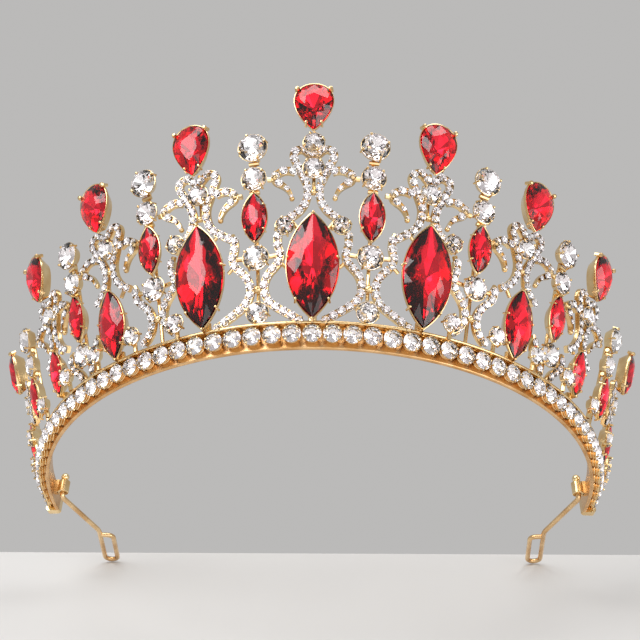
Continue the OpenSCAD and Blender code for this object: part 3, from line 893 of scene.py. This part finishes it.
# ---- Lugs -----------------------------------------------------------------------------------
# A short upright tube soldered inside each end of the strip, with a tongue of brass behind it.
# The arm's pin turns in it.
PIVOT_X, PIVOT_Y = 65.9, -3.0
LUG_R, LUG_Z = 1.5, 1.9
WIRE_D = 1.3
PIN_PLAY = 0.08

for side, node in ((-1, "left_lug"), (1, "right_lug")):
    place = Matrix.Translation((side * PIVOT_X, PIVOT_Y, 0))
    bore = WIRE_D / 2 + PIN_PLAY
    lug_shell = Shell()
    around = 24
    section = [(LUG_R - 0.15, LUG_Z), (LUG_R, LUG_Z + 0.15), (LUG_R, BAND_H - 0.15),
               (LUG_R - 0.15, BAND_H), (bore + 0.1, BAND_H), (bore, BAND_H - 0.1),
               (bore, LUG_Z + 0.1), (bore + 0.1, LUG_Z)]
    ring_points = [(r * math.cos(2 * math.pi * i / around), r * math.sin(2 * math.pi * i / around), z)
                   for r, z in section for i in range(around)]
    lug_shell.add(ring_points, tube_faces(len(section), around, closed_path=True), place)
    tongue_in, tongue_out = 1.15, 2.05
    corners = [(side * x, y, z) for z in (LUG_Z, BAND_H) for x, y in
               ((tongue_in, -0.95), (tongue_out, -0.95), (tongue_out, 0.95), (tongue_in, 0.95))]
    lug_shell.add(corners, tube_faces(2, 4), place)
    lug = make_piece(f"{side_name(side)}_lug_tube", lug_shell, [cast_gold])
    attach(lug, CROWN)
    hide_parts(node)

# ---- Wire arms ------------------------------------------------------------------------------
# Spring wire, gold plated and drawn smooth: a pin up through the lug, an elbow, a run back and a
# long closed hairpin loop that a hair grip holds. The hairpin's end is soldered to its own side.
ARM_L, LOOP_L, LOOP_GAP = 19, 17, 2.2
BEND_R = 1.15
WIRE_Z = WIRE_D / 2 + 0.15
PIN_TOP = BAND_H + 0.9
ARM_HEADING = 17
WIRE_GOLD = (0.86, 0.62, 0.34)
WIRE_GOLD_WORN = (0.66, 0.40, 0.18)

drawn_wire_gold = plated("drawn wire gold", WIRE_GOLD, WIRE_GOLD_WORN, 0.12, 0.3, 1200,
                         stretch=(3, 0.4, 3), dents=0.1)


def bent_wire(line, r):
    """A round wire along a line of points, with rounded ends."""
    points, around = [], 12
    line = [Vector(p) for p in line]
    start, end = (line[0] - line[1]).normalized(), (line[-1] - line[-2]).normalized()
    soft = [(0.45, 0.9), (0.85, 0.5)]
    stops = [(line[0] + start * r * along, r * wide) for wide, along in soft]
    stops += [(p, r) for p in line]
    stops += [(line[-1] + end * r * along, r * wide) for wide, along in reversed(soft)]
    side = None
    for i, (p, size) in enumerate(stops):
        along = (stops[min(i + 1, len(stops) - 1)][0] - stops[max(i - 1, 0)][0]).normalized()
        if side is None:
            side = along.orthogonal()
        side = (side - along * side.dot(along)).normalized()
        other = along.cross(side)
        points += [p + size * (math.cos(2 * math.pi * j / around) * side
                               + math.sin(2 * math.pi * j / around) * other)
                   for j in range(around)]
    return points, tube_faces(len(stops), around)


def arm_line():
    """The arm's centreline from the pin's top to the end of its hairpin, pointing along +Y."""
    half = (LOOP_GAP + WIRE_D) / 2
    line = [(0, 0, PIN_TOP - 0.2), (0, 0, WIRE_Z + BEND_R)]
    for i in range(1, 8):
        a = math.radians(90 * i / 8)
        line.append((0, BEND_R * (1 - math.cos(a)), WIRE_Z + BEND_R * (1 - math.sin(a))))
    flat = trace(0, BEND_R, 90, [(0, ARM_L - BEND_R), (-6, 22), (0, LOOP_L - half), (half, 180),
                                 (0, LOOP_L - half - 3), (1.5, 90), (0, 2 * half - 1.5)], 0.6)
    return line + [(x, y, WIRE_Z) for x, y in flat]


for side, word in ((-1, "left"), (1, "right")):
    place = (Matrix.Translation((side * PIVOT_X, PIVOT_Y, 0)) @ Matrix.Scale(side, 4, (1, 0, 0))
             @ Matrix.Rotation(math.radians(ARM_HEADING), 4, "Z"))
    arm_shell = Shell()
    arm_shell.add(*bent_wire(arm_line(), WIRE_D / 2), place)
    arm = make_piece(f"{word}_bent_arm", arm_shell, [drawn_wire_gold])
    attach(arm, f"{word}_arm")
    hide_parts(f"{word}_wire_arm")

# ---- Pivot knobs ----------------------------------------------------------------------------
# A small bright ball pressed over the end of each pin keeps the arm in its lug.
KNOB_R = 1.05
KNOB_GOLD = (0.95, 0.80, 0.52)

bright_knob_gold = plated("bright knob gold", KNOB_GOLD, CAST_GOLD, 0.06, 0.18, 900, dents=0.06)
for side, word in ((-1, "left"), (1, "right")):
    knob_shell = Shell()
    knob_shell.add(*ball(side * PIVOT_X, PIVOT_Y, PIN_TOP + 0.3, KNOB_R, 24, 14))
    knob = make_piece(f"{word}_knob", knob_shell, [bright_knob_gold])
    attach(knob, f"{word}_arm")
    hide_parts(f"{word}_pivot_knob")

# ---- Stage ----------------------------------------------------------------------------------
# A plain pale floor under the arms' loops. The crown is seen from below its band, leaning back,
# so the floor leans with it and stops behind the loops.
LENS_DROP = -37.62                  # the camera's height, in degrees above the band's plane
CAMERA_YAW, CAMERA_ROLL = -1.758, -1.019
CAMERA_LENS = 57.135
FLOOR_TILT = 45
FLOOR_POINT = Vector((0, 35, -0.1))

e, yaw, roll = (math.radians(v) for v in (LENS_DROP, CAMERA_YAW, CAMERA_ROLL))
turn_to_crown = Matrix.Rotation(-yaw, 3, "Z")
level_right, level_up = Vector((1, 0, 0)), Vector((0, math.sin(e), math.cos(e)))
level_back = Vector((0, -math.cos(e), math.sin(e)))
right = turn_to_crown @ (math.cos(roll) * level_right - math.sin(roll) * level_up)
up = turn_to_crown @ (math.sin(roll) * level_right + math.cos(roll) * level_up)
back = turn_to_crown @ level_back
eye = turn_to_crown @ (STONE_R * (-0.00845 * level_right + 0.64805 * level_up + 3.7 * level_back))
eye += Vector((0, 0, CUP_Z))


def stage_finish(name, colour, rough):
    """Plain pale board."""
    finish = bpy.data.materials.new(name)
    finish.use_nodes = True
    nodes, link = finish.node_tree.nodes, finish.node_tree.links.new
    shader = nodes["Principled BSDF"]
    shader.inputs["Base Color"].default_value = (*colour, 1)
    shader.inputs["Roughness"].default_value = rough
    return finish


tilt = math.radians(FLOOR_TILT)
floor_up = Vector((0, -math.sin(tilt), math.cos(tilt)))
floor_front = Vector((0, -math.cos(tilt), -math.sin(tilt)))
floor_shell = Shell()
behind, ahead, half_width = 8, 700, 700
floor_shell.add([FLOOR_POINT + Vector((x, 0, 0)) + floor_front * y - floor_up * z
                 for z in (4, 0) for x, y in ((-half_width, -behind), (half_width, -behind),
                                              (half_width, ahead), (-half_width, ahead))],
                tube_faces(2, 4))
floor = make_piece("pale_floor", floor_shell, [stage_finish("pale board", (0.62, 0.61, 0.60), 0.6)],
                   crease=0)

# ---- Light ----------------------------------------------------------------------------------
# Wide soft boxes at the camera's upper left, right, above and behind it, and a pale room.
world = bpy.data.worlds.new("pale room")
world.use_nodes = True
world.node_tree.nodes["Background"].inputs["Color"].default_value = (0.80, 0.79, 0.78, 1)
world.node_tree.nodes["Background"].inputs["Strength"].default_value = 0.62
bpy.context.scene.world = world
bpy.context.scene.view_settings.view_transform = "Standard"


def soft_box(name, x, y, z, wide, tall, power):
    """A soft box at x right, y up and z towards the camera, in millimetres, aimed at the crown."""
    lamp = bpy.data.lights.new(name, "AREA")
    lamp.shape, lamp.size, lamp.size_y = "RECTANGLE", wide * MM, tall * MM
    lamp.energy = power
    box = bpy.data.objects.new(name, lamp)
    spot = (right * x + up * y + back * z) * MM
    aim = (Vector((0, -0.03, 0.02)) - spot).to_track_quat("-Z", "Y")
    box.matrix_world = Matrix.Translation(spot) @ aim.to_matrix().to_4x4()
    bpy.context.scene.collection.objects.link(box)


soft_box("key box", -420, 640, 420, 560, 460, 4.0)
soft_box("fill box", 640, 180, 480, 420, 560, 2.2)
soft_box("front box", 60, -60, 950, 1000, 700, 2.8)
soft_box("over box", 0, 820, 60, 900, 360, 3.4)
soft_box("low strip", 0, -460, 620, 700, 160, 0.7)

# ---- Camera ---------------------------------------------------------------------------------
# Below the band's plane and in front, looking up at the crest.
lens = bpy.data.cameras.new("camera")
lens.lens, lens.sensor_width, lens.clip_start = CAMERA_LENS, 36, 0.01
camera = bpy.data.objects.new("camera", lens)
camera.matrix_world = Matrix((
    (right.x, up.x, back.x, eye.x * MM), (right.y, up.y, back.y, eye.y * MM),
    (right.z, up.z, back.z, eye.z * MM), (0, 0, 0, 1)))
bpy.context.scene.collection.objects.link(camera)
bpy.context.scene.camera = camera
